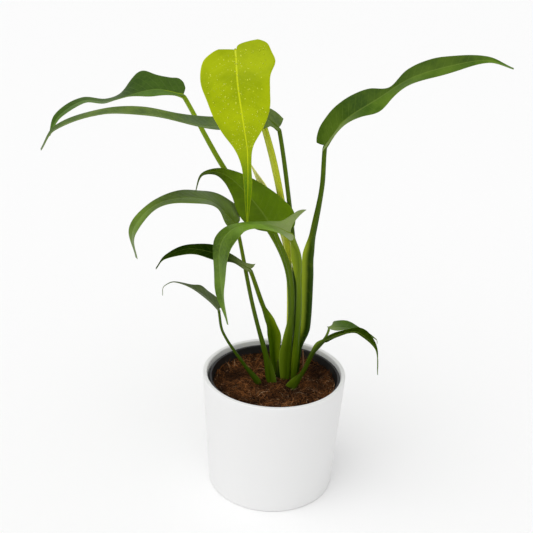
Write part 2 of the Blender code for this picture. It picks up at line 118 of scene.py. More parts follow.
# Each leaf has
#   stalk: stations (x, y, z, half width, half depth) from the crown to the blade
#   broad: the way the stalk's broad side faces
#   rib:   points along the midrib from the stalk to the tip
#   face:  the way the upper face looks, at even steps from base to tip
#   right, left: half widths at crowded steps from base to tip
#   folds: how far the right and the left half rise from flat, in degrees, at even steps
#   lobes: how far the right and the left lobe reach back behind the stalk, and how hooked they are
LEAVES = {
    "new": dict(
        stalk=[
            (13, 33, 87, 2.6, 2.6), (12, 30, 170, 2.6, 2.5), (6, 28, 235, 2.8, 2.4),
            (-8, 31, 300, 3, 2.2), (-26, 31, 355, 2.4, 2), (-40, -2, 395, 1.8, 1.8),
        ],
        broad=(0, -1, 0),
        rib=[(-41, -4, 397), (-38, -16, 372), (-33, -20, 344), (-29, -17, 318), (-28, -4, 255)],
        face=[(0, -0.9, 0.4), (0, -1, 0.3), (0, -1, 0), (0.1, -1, -0.2), (0.1, -1, -0.2)],
        right=[13, 18.5, 25, 28, 28.5, 25.5, 22.5, 17.5, 10.5, 5.5, 4, 3, 1.2],
        left=[18, 25, 28, 30.5, 26, 24.5, 22.5, 15.5, 5, 3, 4, 3, 1.2],
        folds=([5, 5, 8, 15, 40, 55], [5, 5, 8, 15, 40, 55]),
        lobes=(1, 7, 0.35),
    ),
    "strap": dict(
        stalk=[
            (17, 25, 87, 2.4, 2.4), (16, 25, 180, 2.2, 2.2), (13, 24, 223, 2.1, 2.1),
            (4, 18, 286, 1.9, 1.9), (-4, 16, 330, 1.8, 1.8),
        ],
        broad=(0, -1, 0),
        rib=[
            (-5, 15, 333), (-16, 13, 340), (-60, 5, 334), (-112, -7, 345), (-145, -13, 345),
            (-181, -20, 333), (-193, -22, 316),
        ],
        face=[(0.4, -0.3, 0.85), (0, 0, 1), (0, 0, 1), (0, 0, 1), (-0.6, -0.2, 0.8)],
        right=[17, 20, 18, 21, 22, 18, 12.5, 10.5, 3],
        left=[3, 7, 18, 13, 8, 11, 12, 8, 0.5],
        folds=([0, 8, 10, 10, 10], [0, 0, 8, 10, 10]),
        lobes=(4, 2, 0.7),
    ),
    "upper": dict(
        stalk=[
            (10, 24, 87, 2.2, 2.2), (13, 19, 140, 2.1, 2.1), (9, 19, 199, 2, 2),
            (-6, 28, 232, 2.2, 2), (-51, 42, 289, 2.3, 2), (-85, 44, 348, 2, 1.8),
        ],
        broad=(0, -1, 0),
        rib=[
            (-87, 43, 352), (-111, 39, 356), (-150, 30, 346), (-168, 25, 347), (-187, 17, 335),
            (-194, 10, 320),
        ],
        face=[(0.2, -0.15, 1), (0, -0.15, 1), (0, 0.1, 1), (-0.3, -0.2, 1), (-0.6, -0.3, 0.7)],
        right=[9, 17, 21, 19, 19, 26, 22, 13, 10, 7.5, 7.5, 6, 2],
        left=[2, 5, 11, 13, 14, 14, 12, 10, 9, 7, 7.5, 4, 0.5],
        folds=([20, 20, 8, 15, 20], [12, 0, 8, -3, 0, 0]),
        lobes=(2, 2, 0.7),
    ),
    "broad": dict(
        stalk=[
            (11, 16, 87, 4, 2.2), (10, 15, 121, 6.2, 2.3), (11, 13, 137, 4.8, 2.2),
            (14, 12, 170, 2.2, 2), (10, 15, 206, 2, 2), (-3, 15, 238, 1.8, 1.8),
        ],
        broad=(0.1, -1, 0.1),
        rib=[
            (-5, 15, 242), (-18, 19, 260), (-40, 27, 281), (-55, 28, 289), (-69, 25, 287),
            (-74, 19, 273),
        ],
        face=[
            (-0.2, -0.85, 0.5), (-0.2, -0.85, 0.5), (-0.1, -0.8, 0.6), (-0.4, -0.6, 0.7),
            (-0.9, -0.4, 0.2),
        ],
        right=[17, 21, 24, 21, 17, 12, 6, 2, 0.8],
        left=[2, 5, 13, 17.5, 17, 11.5, 6.5, 2.5, 0.5],
        folds=([10, 10, 15, 20, 20], [10, 10, 15, 20, 20]),
        lobes=(6, 2, 0.7),
    ),
    "front": dict(
        stalk=[
            (18, 17, 87, 2.3, 2.2), (19, 12, 118, 3.2, 2.2), (20, 10, 160, 2.6, 2.2),
            (19, 7, 193, 2.4, 2), (15, 1, 223, 4.5, 1.9), (10, -8, 246, 2.2, 1.7),
        ],
        broad=(0, -1, 0.2),
        rib=[
            (9, -9, 249), (-11, -20, 260), (-37, -34, 261), (-48, -43, 249), (-47, -46, 216),
            (-41, -44, 179),
        ],
        face=[
            (0.4, -0.1, 0.9), (0, 0.1, 1), (-0.1, 0.1, 1), (-0.85, -0.5, 0.3), (-0.85, -0.5, 0.1),
            (-0.85, -0.5, 0.1),
        ],
        right=[30, 28, 12, 6, 9, 10.5, 8, 8, 1],
        left=[3, 13, 22, 19, 14, 17, 12, 2.5, 1],
        folds=([35, 8, 5, 15, 25], [0, -5, 0, 0, 5]),
        lobes=(18, 1, 2.2),
    ),
    "left": dict(
        stalk=[
            (-1, 9, 87, 4, 2.2), (-2.5, 9, 99, 4.7, 2.4), (-9, 8, 127, 2.4, 2),
            (-17, 7, 156, 1.9, 1.9), (-23.5, 6, 183, 1.8, 1.8), (-37, 5, 248, 1.6, 1.6),
        ],
        broad=(0, -1, 0.2),
        rib=[
            (-38, 4, 251), (-58, -2, 272), (-84, -11, 277), (-106, -19, 271), (-121, -27, 252),
            (-118, -28, 229),
        ],
        face=[(0.2, -0.3, 1), (0, 0, 1), (0, 0, 1), (-0.8, -0.3, 0.6), (-0.9, -0.3, 0)],
        right=[9, 22, 23, 25, 20, 12.5, 8, 8, 3],
        left=[1, 12, 16, 18, 17, 11, 9, 10, 3],
        folds=([5, 5, 8, 10, 15], [0, 0, 0, 0, 0]),
        lobes=(4, 0, 0.7),
    ),
    "dark": dict(
        stalk=[
            (2, 29, 87, 2.6, 2.2), (0, 26, 120, 4.8, 2.2), (-1, 23, 137, 6.3, 2.2),
            (-5, 18, 153, 4.5, 2.1), (-12, 13, 170, 2.1, 2), (-24, -10, 214, 1.8, 1.8),
        ],
        broad=(0, -1, 0.2),
        rib=[(-25, -12, 217), (-43, -17, 228), (-74, -20, 236), (-95, -23, 229), (-103, -23, 218)],
        face=[(0.2, -0.2, 1), (0, 0, 1), (0, 0, 1), (-0.4, 0, 1), (-1, 0, 0)],
        right=[11, 8, 6, 11, 15, 12, 8, 5, 2],
        left=[4, 5, 7, 8, 14, 14, 12, 8, 1],
        folds=([5, 5, 8, 10, 15], [0, 0, 0, 0, 0]),
        lobes=(7, 2, 0.7),
    ),
    "small": dict(
        stalk=[
            (-13, 6, 87, 2, 1.8), (-14, 5, 96, 3, 1.8), (-28, 2, 117, 1.5, 1.5),
            (-47, -5, 152, 1.2, 1.2), (-51, -7, 175, 1.2, 1.2),
        ],
        broad=(0, -1, 0.5),
        rib=[(-51, -8, 177), (-68, -12, 194), (-88, -17, 204), (-97, -21, 201), (-98, -21, 193)],
        face=[(0.5, 0, 0.9), (0.3, 0, 1), (-0.1, 0, 1), (-0.6, 0, 0.7), (-1, 0, 0)],
        right=[6, 11, 13, 13, 12, 6, 2.5, 1.5, 0.5],
        left=[4, 6, 7, 7, 6, 4, 1.5, 1, 0.5],
        folds=([10, 8, 8, 10, 15], [5, 5, 5, 5, 5]),
        lobes=(4, 2, 0.7),
    ),
    "low": dict(
        stalk=[
            (15, 1, 87, 3.2, 2), (16, 0, 95, 4.8, 2.2), (26, -4, 114, 2, 1.8),
            (33, -9, 136, 2, 1.4), (38, -11, 146, 2.8, 1.2), (43, -12, 151, 1.8, 1.2),
        ],
        broad=(-0.3, -1, 0.5),
        rib=[(44, -13, 153), (61, -19, 163), (71, -22, 165), (86, -27, 153), (90, -28, 128)],
        face=[(-0.5, 0, 0.9), (-0.3, 0, 1), (0.2, 0, 1), (0.8, 0, 0.6), (1, 0, 0)],
        right=[2, 2, 2, 2, 2, 3, 3.5, 4, 1],
        left=[2, 4, 5, 5, 6, 9, 8, 5, 0.5],
        folds=([5, 0, 0, 5, 5], [10, 8, 8, 10, 15]),
        lobes=(1, 1, 0.7),
    ),
    "twin": dict(
        stalk=[(42, -9, 149, 1.2, 1.2), (45, -6, 153, 1.1, 1.1), (47, -2, 157, 1.1, 1.1)],
        broad=(-0.3, -1, 0.5),
        rib=[(47, 0, 158), (62, 7, 155), (79, 10, 150), (92, 11, 142), (93, 11, 138)],
        face=[(-0.2, -0.3, 1), (0, 0, 1), (0.3, 0, 1), (0.6, 0, 0.8), (1, 0, 0.2)],
        right=[1.5, 4, 6.5, 7, 6, 4, 3, 1.5, 0.5],
        left=[1.5, 1.5, 4, 10.5, 12.5, 10, 4.5, 2, 0.5],
        folds=([8, 8, 8, 10, 15], [8, 8, 8, 10, 15]),
        lobes=(1, 1, 0.7),
    ),
    "right": dict(
        stalk=[
            (22, 27, 87, 2.2, 2.2), (23, 25, 121, 2, 2), (27, 23, 147, 5, 2.4),
            (26.5, 22, 196, 5.5, 2.4), (26, 21, 218, 5.2, 2.3), (29, 19, 240, 2.9, 2.1),
            (34, 14, 283, 2.1, 2), (34, 8, 319, 1.9, 1.8),
        ],
        broad=(0, -1, 0.2),
        rib=[
            (34, 8, 322), (48, 4, 343), (73, -2, 363), (96, -9, 381), (125, -17, 393),
            (151, -24, 399), (170, -27, 394),
        ],
        face=[
            (-0.6, -0.4, 0.6), (-0.5, -0.4, 0.7), (-0.35, -0.3, 0.85), (-0.2, -0.8, 0.6),
            (0, -0.3, 1),
        ],
        right=[6, 5.5, 5, 5, 6, 8.5, 12.5, 10, 10.5, 8, 5.5, 3, 1],
        left=[8, 11.5, 14.5, 15.5, 16.5, 16, 12.5, 3.5, 10.5, 10, 7, 4, 1],
        folds=([20, 8, -15, 5, 10, 10, 10], [20, 25, 20, 10, 15]),
        lobes=(4, 5, 0.7),
    ),
}

# Round or flattened pieces: stations as for a stalk, and the way the broad side faces.
SHOOTS = {
    "young_leaf": dict(
        stalk=[
            (16, 38, 87, 2.4, 2), (14, 38, 167, 2.4, 2), (5, 39, 225, 2.6, 1.8),
            (-13, 38, 268, 3.6, 1.5), (-29, 34, 298, 0.6, 0.5),
        ],
        broad=(0, -1, 0),
    ),
    "crown_stump": dict(
        stalk=[(5, 20, 87, 3, 3), (5, 20, 100, 2.9, 2.9), (5, 20, 112, 2.2, 2.2)],
        broad=(0, -1, 0),
    ),
    "aerial_root": dict(
        stalk=[(27, 16, 88, 0.7, 0.7), (27, 18, 113, 0.8, 0.8), (26, 20, 124, 0.6, 0.6)],
        broad=(0, -1, 0),
    ),
}

# Colours of each leaf: upper face in shade and in light, underside, stalk at the top and at the
# foot, and the wing of its sheath.
TINTS = {
    "new": ((0.26, 0.335, 0.0003), (0.36, 0.44, 0.0005), (0.34, 0.42, 0.005), (0.62, 0.7, 0.03),
            (0.6, 0.66, 0.03), (0.85, 0.88, 0.35)),
    "strap": ((0.04, 0.09, 0.002), (0.13, 0.2, 0.025), (0.13, 0.18, 0.03), (0.085, 0.15, 0.001),
              (0.036, 0.075, 0.001), (0.1, 0.16, 0.01)),
    "upper": ((0.035, 0.085, 0.003), (0.07, 0.145, 0.01), (0.2, 0.28, 0.05), (0.25, 0.38, 0.01),
              (0.1, 0.18, 0.003), (0.2, 0.3, 0.02)),
    "broad": ((0.06, 0.11, 0.001), (0.095, 0.165, 0.001), (0.05, 0.09, 0.003), (0.12, 0.2, 0.004),
              (0.06, 0.11, 0.001), (0.17, 0.26, 0.01)),
    "front": ((0.06, 0.13, 0.004), (0.14, 0.25, 0.02), (0.17, 0.24, 0.05), (0.17, 0.25, 0.01),
              (0.07, 0.13, 0.001), (0.24, 0.32, 0.008)),
    "left": ((0.05, 0.09, 0.004), (0.1, 0.17, 0.012), (0.15, 0.22, 0.03), (0.12, 0.19, 0.002),
             (0.055, 0.105, 0.001), (0.09, 0.15, 0.008)),
    "dark": ((0.008, 0.025, 0.001), (0.025, 0.055, 0.002), (0.12, 0.17, 0.05), (0.1, 0.16, 0.002),
             (0.075, 0.15, 0.001), (0.2, 0.3, 0.006)),
    "small": ((0.045, 0.08, 0.008), (0.1, 0.15, 0.025), (0.11, 0.16, 0.03), (0.06, 0.11, 0.002),
              (0.04, 0.08, 0.001), (0.09, 0.15, 0.01)),
    "low": ((0.025, 0.06, 0.001), (0.07, 0.13, 0.004), (0.1, 0.16, 0.02), (0.025, 0.05, 0.001),
            (0.045, 0.08, 0.001), (0.12, 0.19, 0.006)),
    "twin": ((0.035, 0.08, 0.001), (0.07, 0.14, 0.004), (0.14, 0.19, 0.04), (0.11, 0.18, 0.004),
             (0.08, 0.14, 0.004), (0.12, 0.19, 0.006)),
    "right": ((0.03, 0.07, 0.002), (0.075, 0.135, 0.008), (0.2, 0.27, 0.06), (0.065, 0.12, 0.001),
              (0.022, 0.055, 0.001), (0.36, 0.46, 0.02)),
}

# How light the upper face is at five even steps from the stalk to the tip: partly the leaf's own tone,
# partly painted light and shade where the blade turns towards or away from the light.
TONE_AND_SHADE_GRADES = {
    "new": (1.0, 1.12, 1.2, 1.0, 1.0),
    "strap": (1.0, 1.05, 1.08, 1.05, 1.0),
    "upper": (0.8, 0.78, 0.8, 0.9, 1.2),
    "broad": (1.3, 1.5, 1.4, 0.7, 0.5),
    "front": (1.4, 1.25, 0.5, 0.8, 0.85),
    "left": (1.4, 1.05, 0.75, 1.4, 1.4),
    "dark": (1.5, 1.1, 0.8, 0.8, 1.0),
    "small": (0.9, 0.9, 0.9, 0.9, 0.9),
    "low": (0.35, 0.33, 0.4, 0.6, 0.6),
    "twin": (1.4, 1.2, 1.0, 1.0, 1.0),
    "right": (1.2, 1.15, 1.15, 1.05, 2.2),
}

# How light the right and the left half of the upper face are: painted light on the half that faces the
# light, painted shade on the half turned away.
LIT_AND_SHADED_HALVES = {
    "right": (1.15, 0.8), "upper": (0.9, 1.6), "left": (0.9, 1.15), "front": (0.95, 1.15),
    "broad": (1.05, 0.85), "strap": (0.95, 1.1),
}

# How strongly a painted pale grey sheen, standing in for the reflection of the white surroundings,
# covers the upper face next to the stalk.
PAINTED_SHEEN = {"front": 0.9, "right": 0.75, "dark": 1.0, "twin": 0.7, "left": 0.15}
SHEEN_GREY = (0.25, 0.31, 0.11)
YOUNG_TAIL = (0.13, 0.25, 0.002)
YOUNG_RIB = (0.62, 0.69, 0.01)
PALE_RIB = (0.3, 0.4, 0.08)

# The side of the stalk that its sheath spreads to: -1 left, 1 right, 0 no sheath.
WINGS = {
    "new": -1, "strap": 0, "upper": 0, "broad": -1, "front": -1, "left": 1, "dark": 1,
    "small": 1, "low": -1, "twin": 0, "right": -1,
}


# ---------------------------------------------------------------- shape functions


def curve_point(points, position):
    """A point and the direction on a smooth curve through the points; position is 0 to 1 along it."""
    lengths = [0.0]
    for a, b in zip(points, points[1:]):
        lengths.append(lengths[-1] + (b - a).length)
    wanted = min(max(position, 0.0), 1.0) * lengths[-1]
    i = 0
    while i < len(points) - 2 and lengths[i + 1] < wanted:
        i += 1
    a, b = points[i], points[i + 1]
    span = lengths[i + 1] - lengths[i]
    before = points[i - 1] if i > 0 else a - (b - a)
    after = points[i + 2] if i + 2 < len(points) else b + (b - a)
    start = (b - before) * (span / max(span + (a - before).length, 1e-6))
    end = (after - a) * (span / max(span + (after - b).length, 1e-6))
    t = (wanted - lengths[i]) / span
    place = a * (2 * t**3 - 3 * t**2 + 1) + start * (t**3 - 2 * t**2 + t)
    place = place + b * (3 * t**2 - 2 * t**3) + end * (t**3 - t**2)
    way = a * (6 * t**2 - 6 * t) + start * (3 * t**2 - 4 * t + 1)
    way = way + b * (6 * t - 6 * t**2) + end * (3 * t**2 - 2 * t)
    return place, way.normalized()


def path_length(points):
    return sum((b - a).length for a, b in zip(points, points[1:]))


def around(count):
    """Angles of evenly spaced places round the axis."""
    return np.linspace(0, math.tau, count, endpoint=False)


def even_value(values, position):
    """The value of an evenly spaced list, eased smoothly between its entries."""
    scaled = min(max(position, 0.0), 1.0) * (len(values) - 1)
    i = min(int(scaled), len(values) - 2)
    t = scaled - i
    before = values[max(i - 1, 0)]
    after = values[min(i + 2, len(values) - 1)]
    start = (values[i + 1] - before) * 0.5
    end = (after - values[i]) * 0.5
    result = values[i] * (2 * t**3 - 3 * t**2 + 1) + start * (t**3 - 2 * t**2 + t)
    return result + values[i + 1] * (3 * t**2 - 2 * t**3) + end * (t**3 - t**2)


def blade_axes(leaf, s):
    """Place, direction, upper side and right side of the blade at s along its midrib."""
    place, way = curve_point([Vector(p) for p in leaf["rib"]], s)
    face = even_value([Vector(f).normalized() for f in leaf["face"]], s)
    face = (face - way * face.dot(way)).normalized()
    return place, way, face, way.cross(face)


def blade_rows(leaf, marks, across, seed):
    """Grid of points on the blade's middle surface, and each point's distance along and across."""
    length = path_length([Vector(p) for p in leaf["rib"]])
    side = np.where(across > 0, 1.0, -1.0)
    out = np.abs(across)
    points, along_mm, across_mm, sweep_mm = [], [], [], []
    for s in marks:
        place, way, face, right = (np.array(v) for v in blade_axes(leaf, s))
        u = s ** (1 / WIDTH_CROWDING)
        width_right = max(even_value(leaf["right"], u), LEAST_HALF_WIDTH)
        width_left = max(even_value(leaf["left"], u), LEAST_HALF_WIDTH)
        width = np.where(across > 0, width_right, width_left)
        sinus = max(0.0, 1 - s / SINUS_REACH)
        reach = width * out ** (1 + SINUS_CROWDING * sinus)
        right_lobe, left_lobe, hook = leaf["lobes"]
        lobe = np.where(across > 0, right_lobe, left_lobe) * max(0.0, 1 - s / LOBE_REACH) ** 2
        back = lobe * np.clip((out - LOBE_START) / (1 - LOBE_START), 0, 1) ** hook
        right_fold, left_fold = (math.radians(even_value(f, s)) for f in leaf["folds"])
        angle = np.where(across > 0, right_fold, left_fold)
        soft = np.sqrt(reach**2 + RIB_ROUNDING**2) - RIB_ROUNDING
        rise = soft * np.sin(angle)
        # the margin ripples gently, more on broad blades
        wave = math.tau * (RIPPLES * s + RIPPLE_STEP * seed) + side * RIPPLE_LEAD
        ripple = MARGIN_RIPPLE * width * out**3 * np.sin(wave)
        # between lateral veins the blade bulges a little
        vein = s * length - back * 0.5 - 0.55 * reach
        quilt = QUILT_HEIGHT * min(1, width_left / QUILT_FULL_WIDTH) * np.sin(math.pi * out)
        quilt = quilt * np.sin(math.tau * vein / VEIN_SPACING)
        level = rise + ripple + quilt
        spread = side * reach * np.cos(angle)
        points.append(place + right * spread[:, None] + face * level[:, None] - way * back[:, None])
        along_mm.append(np.full(len(across), s * length))
        across_mm.append(side * reach)
        sweep_mm.append(vein)
    return np.array(points), np.array(along_mm), np.array(across_mm), np.array(sweep_mm)


def unit(vectors):
    """The same directions with length 1."""
    return vectors / np.maximum(np.linalg.norm(vectors, axis=-1, keepdims=True), 1e-9)


def grid_normals(grid):
    """Unit normals of a grid of points."""
    along = np.gradient(grid, axis=0)
    across = np.gradient(grid, axis=1)
    return unit(np.cross(across, along))


def add_object(name, data):
    result = bpy.data.objects.new(name, data)
    bpy.context.collection.objects.link(result)
    return result


def make_mesh(name, points, faces, paint, smooth=True, values=None):
    """An object from points in millimetres. values are named numbers for each point."""
    mesh = bpy.data.meshes.new(name)
    mesh.from_pydata((np.asarray(points) * MM).tolist(), [], faces)
    for key, numbers in (values or {}).items():
        layer = mesh.attributes.new(key, "FLOAT", "POINT")
        layer.data.foreach_set("value", np.asarray(numbers, dtype=np.float32).ravel())
    if smooth:
        mesh.shade_smooth()
    mesh.materials.append(paint)
    return add_object(name, mesh)


def grid_faces(rows, columns, start, flip=False, wrap=False):
    """Quads between the points of a grid whose first point has the number start."""
    faces = []
    for i in range(rows - 1):
        for j in range(columns if wrap else columns - 1):
            k = (j + 1) % columns
            a, b = start + i * columns + j, start + i * columns + k
            c, d = b + columns, a + columns
            faces.append((a, d, c, b) if flip else (a, b, c, d))
    return faces


def blade(name, leaf, paint, seed):
    """One leaf blade as a thin closed solid. seed shifts the ripples of its margin."""
    q = np.linspace(-1, 1, BLADE_COLUMNS)
    across = np.sign(q) * np.abs(q) ** 1.25
    across[BLADE_COLUMNS // 2] = 1e-6
    marks = [(i / (BLADE_ROWS - 1)) ** ROW_CROWDING for i in range(BLADE_ROWS)]
    grid, along, wide, vein = blade_rows(leaf, marks, across, seed)
    normal = grid_normals(grid)
    # a shallow channel over the midrib and a rounded ridge under it, both fading to the tip
    fade = np.clip(1.1 - np.array(marks), 0, 1)[:, None]
    channel = CHANNEL_DEPTH * fade * np.exp(-((wide / CHANNEL_WIDTH) ** 2))
    ridge = RIDGE_HEIGHT * fade * np.exp(-((wide / RIDGE_WIDTH) ** 2))
    over = grid + normal * (BLADE_HALF_THICKNESS - channel)[:, :, None]
    under = grid - normal * (BLADE_HALF_THICKNESS + ridge)[:, :, None]
    rows, columns = grid.shape[:2]
    count = rows * columns
    faces = grid_faces(rows, columns, 0) + grid_faces(rows, columns, count, flip=True)
    rim = list(range(columns))
    rim += [i * columns + columns - 1 for i in range(1, rows)]
    rim += [(rows - 1) * columns + j for j in range(columns - 2, -1, -1)]
    rim += [i * columns for i in range(rows - 2, 0, -1)]
    faces += [(b, a, count + a, count + b) for a, b in zip(rim, rim[1:] + rim[:1])]
    points = np.concatenate([over.reshape(-1, 3), under.reshape(-1, 3)])
    edge = np.tile(np.abs(across), rows)
    tip = np.repeat(marks, columns)
    values = {
        "along": np.tile(along.ravel(), 2),
        "across": np.tile(wide.ravel(), 2),
        "vein": np.tile(vein.ravel(), 2),
        "edge": np.tile(edge, 2),
        "tip": np.tile(tip, 2),
        "under": np.repeat([0.0, 1.0], count),
    }
    return make_mesh(name, points, faces, paint, values=values)


def eased_value(values, marks, s):
    """The value at s of numbers that are given at marks, eased between neighbours."""
    k = 0
    while k < len(marks) - 2 and marks[k + 1] < s:
        k += 1
    t = (s - marks[k]) / (marks[k + 1] - marks[k])
    t = t * t * (3 - 2 * t)
    return values[k] * (1 - t) + values[k + 1] * t


def stalk_level(turn, wide, deep, wing, sheath):
    """How far forward each point of a stalk's ring lies. sheath is 0 for a plain round stalk and 1
    for a rod with a fully spread wing."""
    across = np.cos(turn)
    rod = deep * ROD_SHARE
    centre = -wing * (wide - rod) * sheath
    from_rod = (across * wide - centre) / (rod if sheath else wide)
    bulge = deep * np.sqrt(np.clip(1 - from_rod**2, 0, 1))
    flap = WING_HALF_THICKNESS * np.sqrt(np.clip(1 - across**8, 0, 1))
    thick = np.maximum(bulge, flap * sheath) * ((1 - sheath) * np.abs(np.sin(turn)) + sheath)
    # a round stalk has a shallow channel in front
    groove = GROOVE_DEPTH * deep * np.exp(-((from_rod / GROOVE_WIDTH) ** 2))
    groove = groove * (np.sin(turn) > 0.3) * (1 - sheath)
    # the wing curls forward round the rod
    outward = np.maximum(across * wing + WING_CURL_START, 0.0)
    curl = sheath * WING_CURL * wide * outward**2
    return np.sign(np.sin(turn)) * thick - groove + curl


def stalk(name, stations, broad, paint, wing=0, tail=(), sides=40, step=1.6):
    """A fleshy stalk whose wide parts are sheaths: a round rod along one side and a thin wing that
    spreads to the other. tail carries it on under the blade's midrib as (point, radius) pairs."""
    path = [Vector(p[:3]) for p in stations] + [Vector(p) for p, _ in tail]
    wides = [p[3] for p in stations] + [r for _, r in tail]
    deeps = [p[4] for p in stations] + [r for _, r in tail]
    total = path_length(path)
    marks = [0.0]
    for a, b in zip(path, path[1:]):
        marks.append(marks[-1] + (b - a).length / total)
    steps = max(8, int(total / step))
    turn = around(sides)
    front = Vector(broad).normalized()
    points, along, sheaths = [], [], []
    for i in range(steps + 1):
        s = i / steps
        place, way = curve_point(path, s)
        wide = eased_value(wides, marks, s)
        deep = eased_value(deeps, marks, s)
        across = way.cross(front).normalized()
        if across.x < 0:
            across = -across
        facing = (front - way * front.dot(way)).normalized()
        spread = (wide / deep - SHEATH_FROM) / SHEATH_RANGE
        sheath = min(max(spread, 0.0), 1.0) if wing else 0.0
        level = stalk_level(turn, wide, deep, wing, sheath)
        ring = np.array(place) + np.outer(wide * np.cos(turn), across) + np.outer(level, facing)
        points.append(ring)
        along.append(s * total)
        sheaths.append(sheath)
    rows = steps + 1
    points = np.concatenate(points + [[np.array(path[0])], [np.array(path[-1])]])
    faces = grid_faces(rows, sides, 0, flip=True, wrap=True)
    first, last = rows * sides, rows * sides + 1
    for n in range(sides):
        m = (n + 1) % sides
        faces.append((n, m, first))
        faces.append(((rows - 1) * sides + m, (rows - 1) * sides + n, last))
    values = {
        "along": np.append(np.repeat(along, sides), [0.0, total]),
        "side": np.append(np.tile(np.cos(turn) * (wing or 1), rows), [0.0, 0.0]),
        "sheath": np.append(np.repeat(sheaths, sides), [0.0, 0.0]),
    }
    return make_mesh(name, points, faces, paint, values=values)


def capped_faces(ring_count, sides):
    """Faces of a closed solid of rings, which has a point 0 underneath and a last point on top."""
    faces = grid_faces(ring_count, sides, 1, wrap=True)
    top = 1 + ring_count * sides
    for k in range(sides):
        n = (k + 1) % sides
        faces.append((0, 1 + n, 1 + k))
        faces.append((top - sides + k, top - sides + n, top))
    return faces


def ring_points(radius, turn, z):
    """Points of a level ring around the axis."""
    return np.stack([radius * np.cos(turn), radius * np.sin(turn), np.full(len(turn), float(z))], 1)


def turned(name, profile, paint):
    """A closed turned solid; the profile runs from the axis underneath, out and up, and back."""
    first, *rings, last = profile
    turn = around(TURNED_SIDES)
    points = [[[0.0, 0.0, first[1]]]]
    for radius, z in rings:
        points.append(ring_points(radius, turn, z))
    points.append([[0.0, 0.0, last[1]]])
    faces = capped_faces(len(rings), TURNED_SIDES)
    result = make_mesh(name, np.concatenate(points), faces, paint)
    result.data.set_sharp_from_angle(angle=math.radians(60))
    return result


def rounded(corner, way_in, way_out, radius, steps=5):
    """Points around a corner, which is cut back by radius along both ways."""
    a = (corner[0] - way_in[0] * radius, corner[1] - way_in[1] * radius)
    b = (corner[0] + way_out[0] * radius, corner[1] + way_out[1] * radius)
    result = []
    for i in range(steps + 1):
        t = i / steps
        keep = ((1 - t) ** 2, 2 * t * (1 - t), t * t)
        result.append(tuple(a[n] * keep[0] + corner[n] * keep[1] + b[n] * keep[2] for n in (0, 1)))
    return result


# ---------------------------------------------------------------- materials


class Paint:
    """A small helper that wires one procedural material."""

    def __init__(self, name, roughness=0.5, **sockets):
        self.material = bpy.data.materials.new(name)
        self.material.use_nodes = True
        self.tree = self.material.node_tree
        self.shader = self.tree.nodes["Principled BSDF"]
        self.shader.inputs["Roughness"].default_value = roughness
        for key, number in sockets.items():
            self.shader.inputs[key.replace("_", " ")].default_value = number

    def node(self, kind, **settings):
        result = self.tree.nodes.new(kind)
        for key, value in settings.items():
            setattr(result, key, value)
        return result

    def put(self, socket, value):
        if isinstance(value, bpy.types.NodeSocket):
            self.tree.links.new(value, socket)
        elif isinstance(value, tuple) and len(value) == 3 and socket.type == "RGBA":
            socket.default_value = (*value, 1.0)
        else:
            socket.default_value = value

    def value(self, name):
        return self.node("ShaderNodeAttribute", attribute_name=name).outputs["Fac"]

    def place(self):
        return self.node("ShaderNodeTexCoord").outputs["Object"]

    def math(self, operation, a, b=0.0, c=0.0):
        result = self.node("ShaderNodeMath", operation=operation)
        for socket, value in zip(result.inputs, (a, b, c)):
            self.put(socket, value)
        return result.outputs[0]

    def product(self, a, b):
        return self.math("MULTIPLY", a, b)

    def vector(self, x, y, z=0.0):
        result = self.node("ShaderNodeCombineXYZ")
        for socket, value in zip(result.inputs, (x, y, z)):
            self.put(socket, value)
        return result.outputs[0]

    def noise(self, where, scale, detail=3.0, roughness=0.55):
        result = self.node("ShaderNodeTexNoise")
        self.put(result.inputs["Vector"], where)
        result.inputs["Scale"].default_value = scale
        result.inputs["Detail"].default_value = detail
        result.inputs["Roughness"].default_value = roughness
        return result.outputs["Fac"]

    def scaled(self, value, low, high, new_low=0.0, new_high=1.0):
        result = self.node("ShaderNodeMapRange", interpolation_type="SMOOTHSTEP")
        for socket, number in zip(result.inputs, (value, low, high, new_low, new_high)):
            self.put(socket, number)
        return result.outputs[0]

    def mix(self, factor, a, b):
        result = self.node("ShaderNodeMix", data_type="RGBA")
        self.put(result.inputs[0], factor)
        self.put(result.inputs[6], a)
        self.put(result.inputs[7], b)
        return result.outputs[2]

    def times(self, colour, factor):
        result = self.node("ShaderNodeVectorMath", operation="SCALE")
        self.put(result.inputs[0], colour)
        self.put(result.inputs["Scale"], factor)
        return result.outputs[0]

    def set(self, socket, value):
        self.put(self.shader.inputs[socket], value)

    def rough(self, noise, low, high):
        self.set("Roughness", self.scaled(noise, 0.3, 0.7, low, high))

    def bump(self, height, distance, strength=1.0):
        result = self.node("ShaderNodeBump")
        self.put(result.inputs["Height"], height)
        result.inputs["Distance"].default_value = distance
        result.inputs["Strength"].default_value = strength
        self.set("Normal", result.outputs[0])


